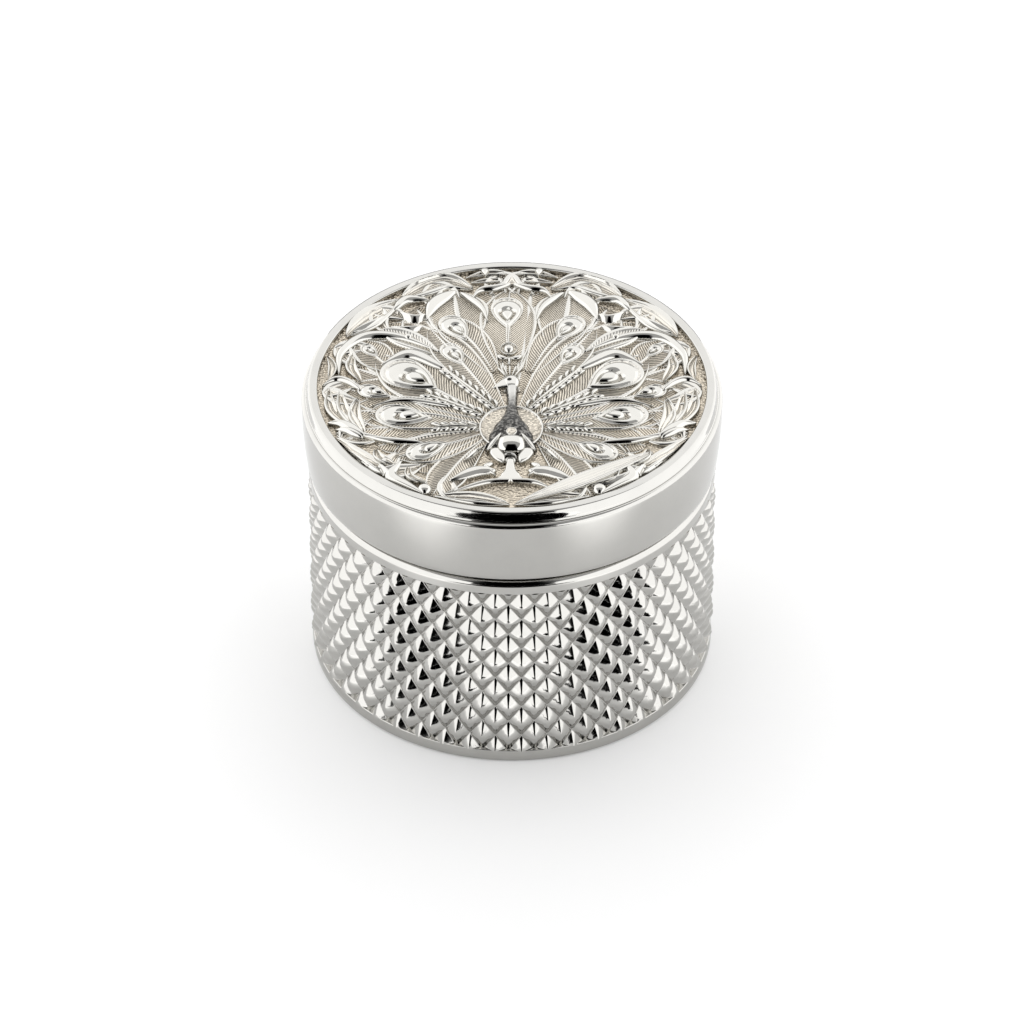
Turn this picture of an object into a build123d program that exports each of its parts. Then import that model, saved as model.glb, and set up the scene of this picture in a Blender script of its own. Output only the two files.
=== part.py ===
"""Round kumkum box: diamond-stud body and lift-off lid with a peacock medallion, in millimetres."""
import os
from math import cos, pi, radians, sin

from build123d import *

# Inner cup, whose upper end is the neck that the lid slips over
cup_bore_radius = 23.4
cup_wall = 0.7
cup_floor = 0.8
neck_height = 8.6
neck_edge_round = 0.2

# Base plate, which shows as the plain foot
base_thickness = 1.75
base_edge_round = 0.6
base_overhang = 0.65
base_recess_depth = 0.4
base_rim_width = 2.4

# Diamond sleeve around the cup
solder_gap = 0.05
sleeve_sheet = 0.4
stud_height = 0.85
studs_round = 48
stud_turn = -1.06
stud_row_pitch = 2.33
stud_rows = 12
wall_height = 25.19

# Shoulder ring on top of the sleeve
ring_height = 1.95
ring_round = 0.85
ring_projection = 0.75

# Lid wall
lid_gap = 0.55
lid_clearance = 0.1
lid_mouth_wall = 1.3
lid_belly = 0.5
lid_mouth_round = 0.25
lid_shoulder_round = 0.5

# Plates inside the lid and the bezel around them
backing_thickness = 0.8
medallion_thickness = 0.8
medallion_seat = 0.3
bezel_lip = 0.5
bezel_land = 0.15
bezel_bead_width = 0.74
bezel_bead_rise = 0.7
bezel_bead_shoulder = 0.33

# Relief of the medallion: heights above the ground, and how far forms reach into the plate
relief_sink = 0.2
feather_height = 0.45
eye_height = 0.95
hood_height = 1.05
border_leaf_height = 0.9

# Peacock figure: heights above the ground
belly_height = 1.8
breast_height = 1.35
thigh_height = 1.0
neck_relief = 1.1
head_height = 1.3
crest_height = 0.55
foot_height = 0.8

# Heights that the pieces share
cup_outer_radius = cup_bore_radius + cup_wall
wall_top = base_thickness + wall_height
ring_top = wall_top + ring_height
neck_top = ring_top + neck_height
lid_mouth = ring_top + lid_gap
band_top = neck_top + backing_thickness
ground = band_top + medallion_thickness

# Radii that the pieces share
sleeve_bore_radius = cup_outer_radius + solder_gap
valley_radius = sleeve_bore_radius + sleeve_sheet
tip_radius = valley_radius + stud_height
band_bore_radius = cup_outer_radius + lid_clearance
lid_mouth_radius = band_bore_radius + lid_mouth_wall
lid_radius = lid_mouth_radius + lid_belly
bezel_radius = lid_radius - lid_shoulder_round
rebate_radius = band_bore_radius + medallion_seat
field_radius = rebate_radius - bezel_lip

os.makedirs("parts", exist_ok=True)


def polar(radius, angle, height):
    """Point at a radius and an angle in degrees around the axis."""
    return Vector(radius * cos(radians(angle)), radius * sin(radians(angle)), height)


# Base plate: turned disc with a rounded edge and a recessed underside
base_radius = valley_radius + base_overhang
with BuildPart() as base_plate:
    with BuildSketch(Plane.XY):
        Circle(base_radius)
    extrude(amount=base_thickness)
    fillet(base_plate.edges().filter_by(GeomType.CIRCLE), base_edge_round)
    with BuildSketch(Plane.XY):
        Circle(base_radius - base_rim_width)
    extrude(amount=base_recess_depth, mode=Mode.SUBTRACT)
base_plate.part.label = "base_plate"
export_step(base_plate.part, "parts/base_plate.step")


# Inner cup: drawn cup that stands on the base plate
with BuildPart() as inner_cup:
    with BuildSketch(Plane.XY.offset(base_thickness)):
        Circle(cup_outer_radius)
    extrude(amount=neck_top - base_thickness)
    with BuildSketch(Plane.XY.offset(base_thickness + cup_floor)):
        Circle(cup_bore_radius)
    extrude(amount=neck_top - base_thickness - cup_floor, mode=Mode.SUBTRACT)
    fillet(inner_cup.faces().sort_by(Axis.Z)[-1].edges(), neck_edge_round)
inner_cup.part.label = "inner_cup"
export_step(inner_cup.part, "parts/inner_cup.step")


# Diamond wall: sleeve of staggered pyramids, each with four flat facets
stud_step = 360 / studs_round


def stud_level(level):
    """Height of a row of stud tips, counted down from the row at the wall's upper end."""
    return wall_top - level * stud_row_pitch


def stud_corner(half_steps, level):
    """Tip or valley point: tips stand where the row and the half step are both odd or both even."""
    is_tip = (half_steps + level) % 2 == 0
    angle = half_steps * stud_step / 2 + stud_turn
    return polar(tip_radius if is_tip else valley_radius, angle, stud_level(level))


def stud_facets(half_steps, level):
    """Two flat triangles between two rows, which meet along the valley that crosses them."""
    low = stud_corner(half_steps, level)
    low_next = stud_corner(half_steps + 1, level)
    high = stud_corner(half_steps, level + 1)
    high_next = stud_corner(half_steps + 1, level + 1)
    if (half_steps + level) % 2 == 0:
        triangles = [(low, low_next, high), (low_next, high_next, high)]
    else:
        triangles = [(low, low_next, high_next), (low, high_next, high)]
    return [Face(Wire.make_polygon(corners)) for corners in triangles]


def stud_cap(level):
    """Flat face that closes the faceted solid at a row."""
    corners = [stud_corner(half_steps, level) for half_steps in range(2 * studs_round)]
    return Face(Wire.make_polygon(corners))


facets = [stud_cap(-1), stud_cap(stud_rows)]
for level in range(-1, stud_rows):
    for half_steps in range(2 * studs_round):
        facets += stud_facets(half_steps, level)

with BuildPart() as diamond_wall:
    add(Solid(Shell(facets)))
    split(bisect_by=Plane.XY.offset(base_thickness), keep=Keep.TOP)
    split(bisect_by=Plane.XY.offset(wall_top), keep=Keep.BOTTOM)
    with BuildSketch(Plane.XY.offset(base_thickness)):
        Circle(sleeve_bore_radius)
    extrude(amount=wall_top - base_thickness, mode=Mode.SUBTRACT)
diamond_wall.part.label = "diamond_wall"
export_step(diamond_wall.part, "parts/diamond_wall.step")


# Shoulder ring: half-round ring seated on the sleeve
with BuildPart() as shoulder_ring:
    with BuildSketch(Plane.XY.offset(wall_top)):
        Circle(valley_radius + ring_projection)
        Circle(sleeve_bore_radius, mode=Mode.SUBTRACT)
    extrude(amount=ring_height)
    top_edges = shoulder_ring.faces().sort_by(Axis.Z)[-1].edges()
    fillet(top_edges.sort_by(SortBy.RADIUS)[-1], ring_round)
shoulder_ring.part.label = "shoulder_ring"
export_step(shoulder_ring.part, "parts/shoulder_ring.step")


# Lid band: bellied wall, upright under the shoulder and drawn in towards the mouth
belly_top = band_top - lid_shoulder_round
with BuildPart() as lid_band:
    with BuildSketch(Plane.XZ):
        with BuildLine():
            Polyline(
                (bezel_radius, band_top),
                (band_bore_radius, band_top),
                (band_bore_radius, lid_mouth),
                (lid_mouth_radius, lid_mouth),
            )
            TangentArc((lid_radius, belly_top), (lid_mouth_radius, lid_mouth), tangent=(0, -1))
            TangentArc((lid_radius, belly_top), (bezel_radius, band_top), tangent=(0, 1))
        make_face()
    revolve(axis=Axis.Z)
    mouth_edges = lid_band.edges().filter_by(GeomType.CIRCLE).group_by(Axis.Z)[0]
    fillet(mouth_edges, lid_mouth_round)
lid_band.part.label = "lid_band"
export_step(lid_band.part, "parts/lid_band.step")


# Backing disc: closes the lid and rests on the neck
with BuildPart() as backing_disc:
    with BuildSketch(Plane.XY.offset(neck_top)):
        Circle(band_bore_radius - solder_gap)
    extrude(amount=backing_thickness)
backing_disc.part.label = "backing_disc"
export_step(backing_disc.part, "parts/backing_disc.step")


# Bezel: beaded moulding on the band, with a lip over the edge of the medallion
bead_outer = field_radius + bezel_bead_width
bead_side = ground + bezel_bead_shoulder
with BuildPart() as lid_bezel:
    with BuildSketch(Plane.XZ):
        with BuildLine():
            Polyline(
                (bead_outer, bead_side),
                (bezel_radius, band_top + bezel_land),
                (bezel_radius, band_top),
                (rebate_radius, band_top),
                (rebate_radius, ground),
                (field_radius, ground),
                (field_radius, bead_side),
            )
            ThreePointArc(
                (field_radius, bead_side),
                (field_radius + bezel_bead_width / 2, ground + bezel_bead_rise),
                (bead_outer, bead_side),
            )
        make_face()
    revolve(axis=Axis.Z)
lid_bezel.part.label = "lid_bezel"
export_step(lid_bezel.part, "parts/lid_bezel.step")


# Relief forms, laid out on the field in shares of its radius
leaf_stations = (0, 0.15, 0.35, 0.6, 0.85, 1)
leaf_broadest = 0.6
leaf_blunt = 0.12
leaf_crown_power = 0.6


def field_point(across, up):
    """Point of the field at shares of its radius to the right of and above its middle."""
    return (field_radius * across, field_radius * up)


def leaf_swell(share):
    """Share of a leaf's full width at a share of its length: a drop, broadest past its middle."""
    if share < leaf_broadest:
        quarter_turn = pi / 2 * share / leaf_broadest
        return max(leaf_blunt, sin(quarter_turn))
    quarter_turn = pi / 2 * (share - leaf_broadest) / (1 - leaf_broadest)
    return max(leaf_blunt, cos(quarter_turn))


def leaf(path, half_width, height):
    """Swelling along a path of two or three points, rooted below the ground, with its width in shares."""
    points = [field_point(across, up) for across, up in path]
    with BuildLine(Plane.XY.offset(ground - relief_sink)) as spine:
        if len(points) == 3:
            ThreePointArc(*points)
        else:
            Line(*points)
    spine_line = spine.line.edge()
    sections = []
    for share in leaf_stations:
        along = spine_line % share
        across = Vector(0, 0, 1).cross(along)
        half_span = half_width * field_radius * leaf_swell(share)
        crown = relief_sink + height * leaf_swell(share) ** leaf_crown_power
        with BuildSketch(Plane(origin=spine_line @ share, x_dir=across, z_dir=along)) as section:
            with BuildLine():
                Line((-half_span, 0), (half_span, 0))
                ThreePointArc((half_span, 0), (0, crown), (-half_span, 0))
            make_face()
        sections.append(section.sketch.face())
    with BuildPart() as swelling:
        loft(sections)
    return swelling.part


# Peacock: breast, belly, neck, head turned to the left, thighs, legs on their foot and crest, flat behind
peacock_line = -0.008
thigh_spread = 0.076
crest_spikes = 5
crest_spread = 15
crest_root = 0.03
crest_reach = 0.14
peacock_forms = [
    leaf(((peacock_line, -0.16), (peacock_line, -0.58)), 0.13, breast_height),
    leaf(((peacock_line, -0.43), (peacock_line, -0.575)), 0.07, belly_height),
    leaf(((peacock_line, -0.3), (peacock_line, 0.02)), 0.022, neck_relief),
    leaf(((-0.098, -0.017), (0.024, 0.004)), 0.036, head_height),
    leaf(((peacock_line, -0.55), (peacock_line, -0.785)), 0.05, foot_height),
]
for side in (-1, 1):
    thigh = peacock_line + side * thigh_spread
    peacock_forms.append(leaf(((thigh, -0.5), (thigh, -0.62)), 0.038, thigh_height))
for spike in range(crest_spikes):
    lean = radians((spike - (crest_spikes - 1) / 2) * crest_spread)
    spike_tip = (peacock_line + crest_reach * sin(lean), crest_root + crest_reach * cos(lean))
    peacock_forms.append(leaf(((peacock_line, crest_root), spike_tip), 0.012, crest_height))

with BuildPart() as peacock_figure:
    add(peacock_forms)
    split(bisect_by=Plane.XY.offset(ground), keep=Keep.TOP)
peacock_figure.part.label = "peacock_figure"
export_step(peacock_figure.part, "parts/peacock_figure.step")


# Middle feather and its eye, then the left half of the fan: path and half width
middle_feather = (((-0.017, 0.183), (-0.025, 0.89)), 0.15)
middle_eye = (((-0.023, 0.48), (-0.027, 0.745)), 0.0875)
fan_feathers = (
    (((-0.225, 0.358), (-0.279, 0.583), (-0.304, 0.808)), 0.165),
    (((-0.096, 0.125), (-0.208, 0.37), (-0.383, 0.575)), 0.108),
    (((-0.0625, -0.1875), (-0.208, 0.1), (-0.425, 0.483)), 0.108),
    (((-0.1125, -0.2375), (-0.35, -0.0625), (-0.69, 0.233)), 0.165),
    (((-0.158, -0.317), (-0.43, -0.2375), (-0.733, -0.225)), 0.1375),
    (((-0.15, -0.39), (-0.317, -0.48), (-0.583, -0.583)), 0.1125),
    (((-0.15, -0.44), (-0.275, -0.633), (-0.404, -0.89)), 0.104),
    (((-0.604, 0.13), (-0.708, 0.258), (-0.7875, 0.3875)), 0.1),
)
fan_eyes = (
    (((-0.233, 0.373), (-0.35, 0.585)), 0.073),
    (((-0.25, 0.166), (-0.35, 0.35)), 0.058),
    (((-0.38, -0.035), (-0.66, 0.176)), 0.117),
    (((-0.406, -0.2775), (-0.7025, -0.231)), 0.085),
    (((-0.32, -0.476), (-0.5375, -0.5825)), 0.067),
    (((-0.69, 0.24), (-0.775, 0.344)), 0.0375),
    (((-0.624, -0.095), (-0.7925, -0.022)), 0.052),
)

# Left half of the arches over the feathers and of the border's scrolling leaves
fan_hoods = (
    (((-0.446, 0.558), (-0.4, 0.7), (-0.292, 0.8)), 0.046),
    (((-0.675, 0.175), (-0.525, 0.2625), (-0.35, 0.142)), 0.042),
    (((-0.383, 0.275), (-0.508, 0.371), (-0.683, 0.471)), 0.07),
)
border_leaves = (
    (((-0.204, 0.829), (-0.367, 0.875), (-0.575, 0.75)), 0.078),
    (((-0.575, 0.733), (-0.717, 0.592), (-0.858, 0.425)), 0.078),
    (((-0.592, 0.62), (-0.508, 0.567), (-0.442, 0.6)), 0.035),
    (((-0.76, 0.42), (-0.87, 0.29), (-0.892, 0.1)), 0.032),
    (((-0.817, 0.275), (-0.829, 0.15), (-0.775, 0.033)), 0.035),
    (((-0.96, 0.02), (-0.9, 0.045), (-0.8, -0.0375)), 0.04),
    (((-0.954, -0.1), (-0.9, -0.258), (-0.758, -0.404)), 0.042),
    (((-0.8, -0.05), (-0.815, -0.21), (-0.758, -0.39)), 0.045),
    (((-0.94, -0.31), (-0.867, -0.317), (-0.75, -0.417)), 0.035),
    (((-0.9, -0.425), (-0.792, -0.579), (-0.642, -0.683)), 0.063),
    (((-0.558, -0.617), (-0.585, -0.75), (-0.45, -0.892)), 0.046),
    (((-0.392, -0.9), (-0.192, -0.925), (-0.03, -0.945)), 0.05),
    (((-0.317, -0.779), (-0.183, -0.704), (-0.079, -0.7)), 0.04),
    (((-0.192, 0.842), (-0.129, 0.9), (-0.03, 0.917)), 0.04),
)
long_leaf = (((0.175, -0.829), (0.442, -0.725), (0.733, -0.542)), 0.048)

fan_half = [leaf(path, half_width, feather_height) for path, half_width in fan_feathers]
fan_half += [leaf(path, half_width, eye_height) for path, half_width in fan_eyes]
fan_half += [leaf(path, half_width, hood_height) for path, half_width in fan_hoods]
fan_half += [leaf(path, half_width, border_leaf_height) for path, half_width in border_leaves]

# Medallion: plate with the two halves of the relief, which ends at the bezel and leaves the bird's place free
with BuildPart() as medallion:
    add(fan_half)
    mirror(about=Plane.YZ)
    add(leaf(*middle_feather, feather_height))
    add(leaf(*middle_eye, eye_height))
    add(leaf(*long_leaf, border_leaf_height))
    with BuildSketch(Plane.XY.offset(ground - relief_sink)):
        Circle(field_radius - solder_gap)
    extrude(amount=relief_sink + belly_height, mode=Mode.INTERSECT)
    add(peacock_figure.part, mode=Mode.SUBTRACT)
    with BuildSketch(Plane.XY.offset(band_top)):
        Circle(rebate_radius - solder_gap)
    extrude(amount=medallion_thickness)
medallion.part.label = "medallion"
export_step(medallion.part, "parts/medallion.step")
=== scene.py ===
"""Kumkum box: silver pieces, finishes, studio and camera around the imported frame.

Laid out as an add-on and run as a script. Radii, heights and the points of the lid's face are in
millimetres: x to the right, y away from the viewer, and relief heights above the medallion's ground.
"""

from math import cos, pi, radians, sin, tan, tau

import bmesh
import bpy
import numpy as np
from bpy.props import FloatProperty, FloatVectorProperty, IntProperty, PointerProperty
from bpy.types import Operator, Panel, PropertyGroup
from mathutils import Matrix, Vector


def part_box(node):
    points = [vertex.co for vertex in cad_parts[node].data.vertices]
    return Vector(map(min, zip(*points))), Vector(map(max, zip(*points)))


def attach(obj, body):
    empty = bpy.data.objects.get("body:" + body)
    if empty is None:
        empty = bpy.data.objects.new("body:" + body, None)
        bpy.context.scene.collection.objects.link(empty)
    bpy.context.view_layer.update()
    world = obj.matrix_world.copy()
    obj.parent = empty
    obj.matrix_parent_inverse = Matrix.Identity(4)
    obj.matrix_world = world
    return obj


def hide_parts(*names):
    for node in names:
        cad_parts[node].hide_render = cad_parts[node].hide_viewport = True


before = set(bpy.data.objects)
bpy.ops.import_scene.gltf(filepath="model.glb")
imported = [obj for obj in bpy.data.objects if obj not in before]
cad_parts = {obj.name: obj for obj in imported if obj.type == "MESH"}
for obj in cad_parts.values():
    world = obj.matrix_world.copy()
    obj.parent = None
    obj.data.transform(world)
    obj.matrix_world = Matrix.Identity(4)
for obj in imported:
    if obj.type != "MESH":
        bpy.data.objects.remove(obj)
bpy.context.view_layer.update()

bl_info = {
    "name": "Kumkum Box",
    "version": (1, 0, 0),
    "blender": (4, 5, 0),
    "location": "View3D > Sidebar > Kumkum Box",
    "description": "Dresses the packed frame of a round silver kumkum box",
    "category": "Object",
}

MM = 0.001

# Height that the camera is aimed at
AIM_HEIGHT = 19.5


def frame_span(node):
    """Lowest height, highest height and outer radius of a frame piece, in millimetres."""
    low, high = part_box(node)
    return low.z / MM, high.z / MM, high.x / MM


FOOT_LOW, FOOT_TOP, FOOT_RADIUS = frame_span("base_plate")
CUP_LOW, NECK_TOP, CUP_RADIUS = frame_span("inner_cup")
WALL_LOW, WALL_TOP, STUD_TIP_RADIUS = frame_span("diamond_wall")
RING_LOW, RING_TOP, RING_RADIUS = frame_span("shoulder_ring")
LID_MOUTH, BAND_TOP, LID_RADIUS = frame_span("lid_band")
LINING_LOW, LINING_TOP, LINING_RADIUS = frame_span("backing_disc")
BEZEL_LOW, BEZEL_TOP, BEZEL_RADIUS = frame_span("lid_bezel")
PLATE_LOW, _, PLATE_RADIUS = frame_span("medallion")
GROUND, BIRD_TOP, _ = frame_span("peacock_figure")

# Relief: how far its forms reach down into the plate, and stay inside the bezel and under the bird's top
RELIEF_SINK = 0.2
BEZEL_CLEARANCE = 0.05
BIRD_CLEARANCE = 0.1


def length_setting(name, description, millimetres):
    """Setting for a length."""
    return FloatProperty(name=name, description=description, default=millimetres * MM, unit="LENGTH")


def angle_setting(name, description, degrees):
    """Setting for an angle."""
    return FloatProperty(name=name, description=description, default=radians(degrees), subtype="ANGLE")


def share_setting(name, description, default, low=0.0):
    """Setting for a share of one, such as a roughness."""
    return FloatProperty(name=name, description=description, default=default, min=low, max=1.0)


def strength_setting(name, description, default):
    """Setting for a brightness."""
    return FloatProperty(name=name, description=description, default=default, min=0.0)


def colour_setting(name, description, *default):
    """Setting for a colour."""
    return FloatVectorProperty(
        name=name, description=description, subtype="COLOR", size=3, min=0.0, max=1.0, default=default
    )


class KumkumBodySettings(PropertyGroup):
    """Sizes of the foot, the stud wall and the cup."""

    stud_columns: IntProperty(name="Studs Round", description="Studs in one row", default=48, min=12)
    stud_row_pitch: length_setting("Row Pitch", "Height between two staggered rows of studs", 2.33)
    stud_turn: angle_setting("Stud Turn", "Turn of the stud pattern away from the front", -1.06)
    stud_height: length_setting("Stud Height", "Rise of a stud above the valleys", 0.85)
    stud_tip_round: share_setting("Tip Rounding", "Share of a stud that its rounded tip takes", 0.3, 0.01)
    stud_ridge_bevel: share_setting("Ridge Bevel", "Share of a facet's width that its flat ridge takes", 0.3)
    sleeve_bore: length_setting("Sleeve Bore", "Inner radius of the stud wall and the shoulder ring", 24.15)
    cup_wall: length_setting("Cup Wall", "Thickness of the cup's wall", 0.7)
    cup_floor: length_setting("Cup Floor", "Thickness of the cup's floor", 0.8)
    foot_rim: length_setting("Foot Rim", "Width of the rim that the box stands on", 2.4)


class KumkumLidSettings(PropertyGroup):
    """Sizes of the lid's wall, bezel and relief."""

    band_bore: length_setting("Lid Bore", "Inner radius of the lid's wall", 24.2)
    mouth_radius: length_setting("Mouth Radius", "Outer radius of the lid's wall at its mouth", 25.5)
    field_radius: length_setting("Field Radius", "Inner edge of the bezel, around the relief", 24.0)
    barb_pitch: length_setting("Barb Pitch", "Distance between engraved feather barbs", 0.42)
    feather_height: length_setting("Feather Height", "Rise of a feather's vane", 0.5)
    eye_height: length_setting("Eye Height", "Rise of a feather's eye", 0.95)
    leaf_height: length_setting("Leaf Height", "Rise of the border's leaves", 0.95)


class KumkumFinishSettings(PropertyGroup):
    """Colours and polish of the silver."""

    silver: colour_setting("Silver", "Polished silver", 0.50, 0.493, 0.472)
    frosted: colour_setting("Frosted Silver", "Matt silver between the raised forms", 0.70, 0.652, 0.57)
    # Recess colour: warm tarnish together with painted shade, laid on the relief's ground below the raised
    # forms
    recess_tarnish_and_shade: colour_setting("Recess", "Warm tarnish low in the relief", 0.66, 0.59, 0.485)
    raised: colour_setting("Raised Silver", "Polished silver of the raised relief", 0.57, 0.56, 0.53)
    oxidised: colour_setting("Oxidised Silver", "Dark silver of the peacock's breast", 0.085, 0.082, 0.077)
    polished_roughness: share_setting("Polish", "Roughness of polished silver", 0.06)
    frosted_roughness: share_setting("Frost", "Roughness of matt silver", 0.24)


class KumkumStageSettings(PropertyGroup):
    """Floor, studio light and camera."""

    floor_colour: colour_setting("Floor", "Pale floor", 0.77, 0.77, 0.77)
    floor_lift: strength_setting("Floor Lift", "Extra white of the floor as it is seen", 0.115)
    floor_glare: strength_setting("Floor Glare", "Extra white of the floor's sides in silver", 1.0)
    tent_strength: strength_setting("Tent", "Brightness of the tent", 0.55)
    side_strength: strength_setting("Side Cards", "Brightness of the white cards at both sides", 1.9)
    back_strength: strength_setting("Back Panel", "Brightness of the panel behind the box", 1.6)
    dark_gap: angle_setting("Dark Gap", "Half width of the tent's opening around the camera", 24)
    camera_elevation: angle_setting("Camera Elevation", "Angle of the camera above the floor", 39)
    camera_distance: length_setting("Camera Distance", "From the camera to the middle of the box", 915.8)
    camera_lens: FloatProperty(
        name="Lens", description="Focal length of the camera", default=257.6, unit="CAMERA"
    )


class KumkumBoxSettings(PropertyGroup):
    """Everything about the box that a user would change."""

    body: PointerProperty(type=KumkumBodySettings)
    lid: PointerProperty(type=KumkumLidSettings)
    finish: PointerProperty(type=KumkumFinishSettings)
    stage: PointerProperty(type=KumkumStageSettings)


def piece_from(name, points, faces, material, weld=False):
    """Smooth mesh object from points in millimetres, with its normals turned outward."""
    mesh = bpy.data.meshes.new(name)
    mesh.from_pydata([tuple(float(c) * MM for c in p) for p in points], [], faces)
    shell = bmesh.new()
    shell.from_mesh(mesh)
    if weld:
        bmesh.ops.remove_doubles(shell, verts=shell.verts, dist=1e-7)
        bmesh.ops.dissolve_degenerate(shell, edges=shell.edges, dist=1e-8)
    bmesh.ops.recalc_face_normals(shell, faces=shell.faces)
    shell.to_mesh(mesh)
    shell.free()
    mesh.polygons.foreach_set("use_smooth", [True] * len(mesh.polygons))
    mesh.materials.append(material)
    piece = bpy.data.objects.new(name, mesh)
    bpy.context.scene.collection.objects.link(piece)
    return piece


def seat(piece, body, slot, *nodes):
    """Hang a finished piece on its body and let it stand for the frame's plain pieces."""
    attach(piece, body)
    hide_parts(*nodes)


def soft_profile(*corners, steps=6, support=0.06):
    """Closed turning profile from corners (radius, height, rounding), with points that keep flats flat."""
    profile = []
    for number, (radius, height, rounding) in enumerate(corners):
        corner = Vector((radius, height))
        before = Vector(corners[number - 1][:2]) - corner
        after = Vector(corners[(number + 1) % len(corners)][:2]) - corner
        if rounding == 0:
            profile.append(tuple(corner))
            continue
        turn = before.angle(after)
        reach = rounding / tan(turn / 2)
        before.normalize()
        after.normalize()
        centre = corner + (before + after).normalized() * (rounding / sin(turn / 2))
        start = corner + before * reach - centre
        sweep = (corner + after * reach - centre).angle_signed(start)
        profile.append(tuple(corner + before * (reach + support)))
        for step in range(steps + 1):
            profile.append(tuple(centre + Matrix.Rotation(sweep * step / steps, 2) @ start))
        profile.append(tuple(corner + after * (reach + support)))
    return profile


def lathe(name, profile, material, segments=288):
    """Turned piece from a closed profile of radius and height."""
    count = len(profile)
    points = []
    for segment in range(segments):
        angle = tau * segment / segments
        points += [(radius * cos(angle), radius * sin(angle), height) for radius, height in profile]
    faces = []
    for segment in range(segments):
        here = segment * count
        there = (segment + 1) % segments * count
        for step in range(count):
            following = (step + 1) % count
            on_axis = profile[step][0] == 0 and profile[following][0] == 0
            if not on_axis:
                faces.append((here + step, there + step, there + following, here + following))
    return piece_from(name, points, faces, material, weld=True)


def smooth_path(corners, count, steps=24):
    """Evenly spaced points of a smooth line through the corners, and its length."""
    corners = np.array(corners, float)
    padded = np.vstack([2 * corners[0] - corners[1], corners, 2 * corners[-1] - corners[-2]])
    share = np.linspace(0, 1, steps, endpoint=False)[:, None]
    line = []
    for number in range(len(corners) - 1):
        a, b, c, d = padded[number : number + 4]
        line.append(
            0.5
            * (
                2 * b
                + (c - a) * share
                + (2 * a - 5 * b + 4 * c - d) * share**2
                + (3 * b - a - 3 * c + d) * share**3
            )
        )
    line = np.vstack(line + [corners[-1:]])
    along = np.concatenate([[0], np.cumsum(np.linalg.norm(np.diff(line, axis=0), axis=1))])
    stations = np.linspace(0, along[-1], count)
    path = np.column_stack([np.interp(stations, along, line[:, axis]) for axis in (0, 1)])
    return path, along[-1]


def swell(share, root, broadest, tip, fullness=1.0):
    """Share of a form's full width along its length."""
    share = np.asarray(share, float)
    rising = root + (1 - root) * np.sin(pi / 2 * np.clip(share / broadest, 0, 1))
    past = np.clip((share - broadest) / (1 - broadest), 0, 1)
    falling = tip + (1 - tip) * np.cos(pi / 2 * past) ** fullness
    return np.where(share < broadest, rising, falling)


def keyed(share, keys):
    """Smooth value along a form through keys of (share, value)."""
    shares = [k[0] for k in keys]
    values = np.array([k[1] for k in keys], float)
    number = np.clip(np.searchsorted(shares, share, side="right") - 1, 0, len(keys) - 2)
    start = np.array(shares)[number]
    span = np.array(shares)[number + 1] - start
    blend = np.clip((share - start) / span, 0, 1)
    blend = blend * blend * (3 - 2 * blend)
    return values[number] * (1 - blend) + values[number + 1] * blend


def both_ways(*half):
    """Whole cross section from its half, which runs from the edge to the middle."""
    return half + tuple((-across, rise, polish) for across, rise, polish in reversed(half[:-1]))


# Cross sections: how far across, how high and how polished
VANE = both_ways(
    (-1.0, 0.1, 0.5), (-0.98, 0.75, 1.0), (-0.94, 1.0, 1.0), (-0.88, 0.9, 0.8), (-0.83, 0.5, 0.0),
    (-0.5, 0.6, 0.0), (-0.16, 0.66, 0.0), (-0.09, 0.72, 0.2), (-0.05, 1.0, 1.0), (0.0, 1.12, 1.0),
)
BLADE = both_ways(
    (-1.0, 0.1, 0.6), (-0.8, 0.34, 1.0), (-0.45, 0.68, 1.0), (-0.18, 0.92, 1.0), (0.0, 1.0, 1.0)
)
ROLL = both_ways(
    (-1.0, 0.05, 0.5), (-0.97, 0.3, 0.9), (-0.86, 0.54, 1.0),
    (-0.66, 0.77, 1.0), (-0.35, 0.94, 1.0), (0.0, 1.0, 1.0),
)
TROUGH = (
    (-1.0, 0.1, 0.5), (-0.93, 0.62, 1.0), (-0.8, 0.8, 1.0), (-0.6, 0.66, 0.8), (-0.3, 0.38, 0.3),
    (0.05, 0.32, 0.2), (0.35, 0.55, 0.6), (0.6, 0.92, 1.0), (0.78, 1.05, 1.0), (0.92, 0.8, 1.0),
    (1.0, 0.1, 0.5),
)
CHANNEL = both_ways(
    (-1.0, 0.1, 0.5), (-0.95, 0.8, 1.0), (-0.86, 0.95, 1.0), (-0.6, 0.86, 0.85), (0.0, 0.78, 0.75)
)
BREAST = both_ways(
    (-1.0, 0.05, 0.0), (-0.97, 0.26, 0.0), (-0.88, 0.48, 0.05),
    (-0.7, 0.72, 0.5), (-0.4, 0.92, 0.9), (0.0, 1.0, 0.9),
)
PAD = both_ways(
    (-1.0, 0.05, 0.6), (-0.97, 0.55, 1.0), (-0.88, 0.8, 1.0), (-0.6, 0.94, 1.0), (0.0, 1.0, 1.0)
)

# Nested rings of eyes, bosses and pads from the edge to the middle: size, height and polish
EYE_RINGS = (
    (1.0, 0.1, 0.6), (0.985, 0.5, 1.0), (0.95, 0.66, 1.0), (0.91, 0.6, 1.0), (0.87, 0.46, 0.6),
    (0.83, 0.52, 0.9), (0.76, 0.7, 1.0), (0.66, 0.78, 1.0), (0.55, 0.72, 1.0), (0.47, 0.52, 1.0),
    (0.42, 0.3, 0.7), (0.39, 0.26, 0.4), (0.365, 0.36, 0.8), (0.345, 0.62, 1.0), (0.31, 0.84, 1.0),
    (0.23, 1.0, 1.0), (0.13, 1.08, 1.0), (0.04, 1.1, 1.0),
)
DOME_RINGS = (
    (1.0, 0.05, 0.6), (0.99, 0.22, 1.0), (0.94, 0.42, 1.0), (0.84, 0.62, 1.0),
    (0.68, 0.8, 1.0), (0.48, 0.92, 1.0), (0.25, 0.98, 1.0), (0.04, 1.0, 1.0),
)
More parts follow.
